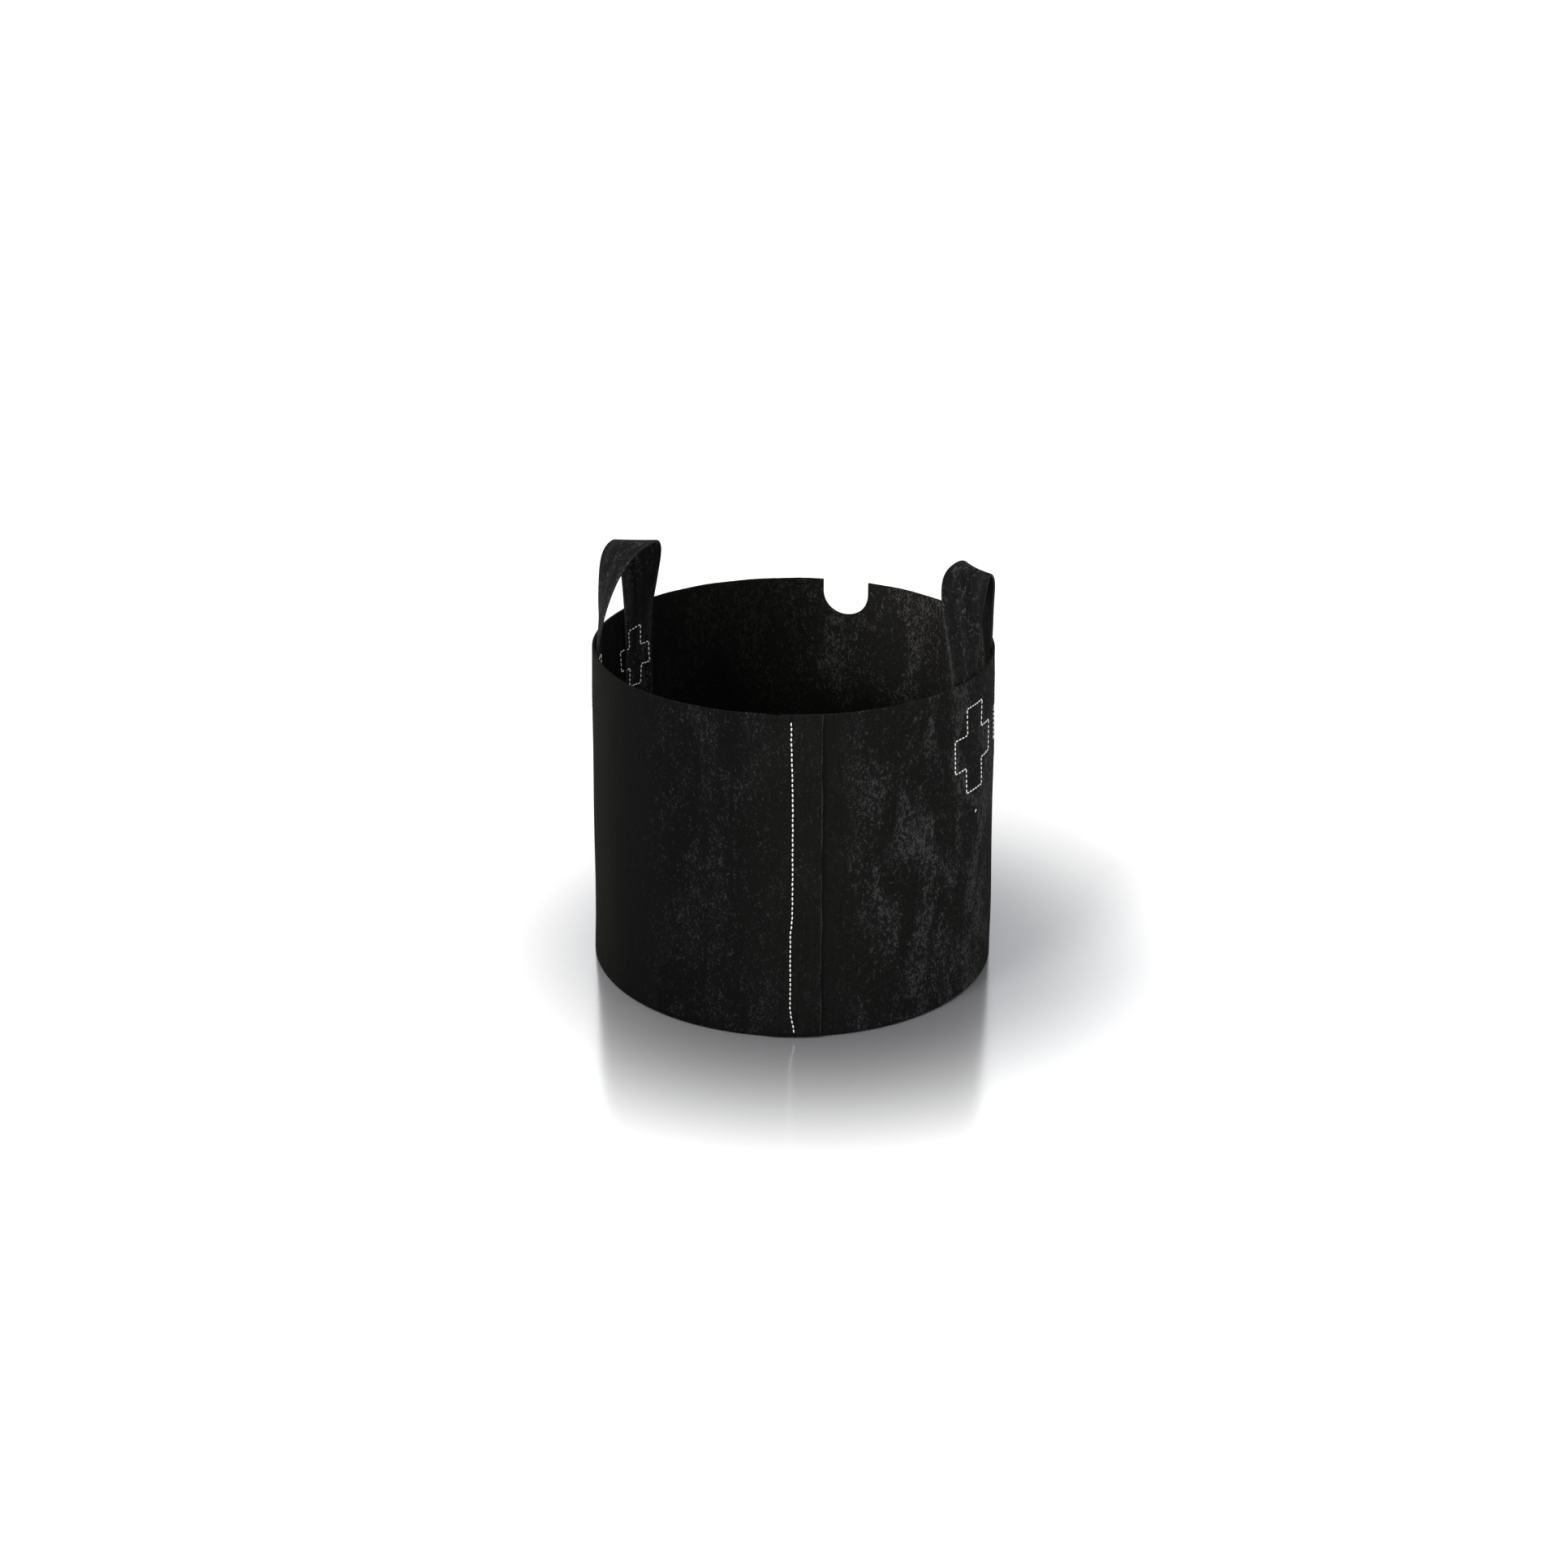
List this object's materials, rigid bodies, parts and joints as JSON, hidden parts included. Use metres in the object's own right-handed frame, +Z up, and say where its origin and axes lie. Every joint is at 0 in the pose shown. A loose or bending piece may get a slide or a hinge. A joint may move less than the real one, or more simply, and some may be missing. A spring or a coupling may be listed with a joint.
{
  "type": "fabric grow bag",
  "caption": "Round felt planting bag with an open top, a lapped and stitched side seam, a notch in the rear rim and two fold-over strap handles.",
  "frame": {"origin": "centre of the underside of the base, on the surface that the bag stands on", "axes": "+Z up towards the open rim, +X to the right seen from the side seam, -Y towards the viewer facing the side seam"},
  "size_m": [0.3136, 0.3161, 0.3258],
  "materials": {
    "wall_felt": "matt needle-punched felt with paler fibres in patches",
    "base_felt": "matt needle-punched felt",
    "strap": "smooth black webbing with a faint lengthwise grain",
    "seam_thread": "white polyester thread",
    "cross_thread": "white polyester thread",
    "bobbin_thread": "white polyester thread, slightly duller"
  },
  "bodies": {
    "bag": {"wall_panel": "wall_felt", "base_panel": "base_felt", "side_seam_needle_thread": "seam_thread", "side_seam_bobbin_thread": "bobbin_thread", "base_seam_needle_thread": "bobbin_thread", "base_seam_bobbin_thread": "bobbin_thread", "strap_tail_tack_thread": "cross_thread", "handle_left_front_end": "strap", "cross_left_front_needle_thread": "cross_thread", "cross_left_front_bobbin_thread": "bobbin_thread", "handle_left_rear_end": "strap", "cross_left_rear_needle_thread": "cross_thread", "cross_left_rear_bobbin_thread": "bobbin_thread", "handle_right_front_end": "strap", "cross_right_front_needle_thread": "cross_thread", "cross_right_front_bobbin_thread": "bobbin_thread", "handle_right_rear_end": "strap", "cross_right_rear_needle_thread": "cross_thread", "cross_right_rear_bobbin_thread": "bobbin_thread"},
    "handle_left": {"handle_left_loop": "strap"},
    "handle_right": {"handle_right_loop": "strap"}
  },
  "joints": [
    {"name": "handle_left_fold", "type": "hinge", "parent": "bag", "child": "handle_left", "pos_m": [-0.13467, 0.04454, 0.267], "axis": [0.314, 0.9494, 0], "range_deg": [-90, 90], "stiffness_Nm_per_rad": 0.05},
    {"name": "handle_right_fold", "type": "hinge", "parent": "bag", "child": "handle_right", "pos_m": [0.13537, -0.03729, 0.267], "axis": [-0.2656, -0.9641, 0], "range_deg": [-90, 90], "stiffness_Nm_per_rad": 0.05}
  ]
}
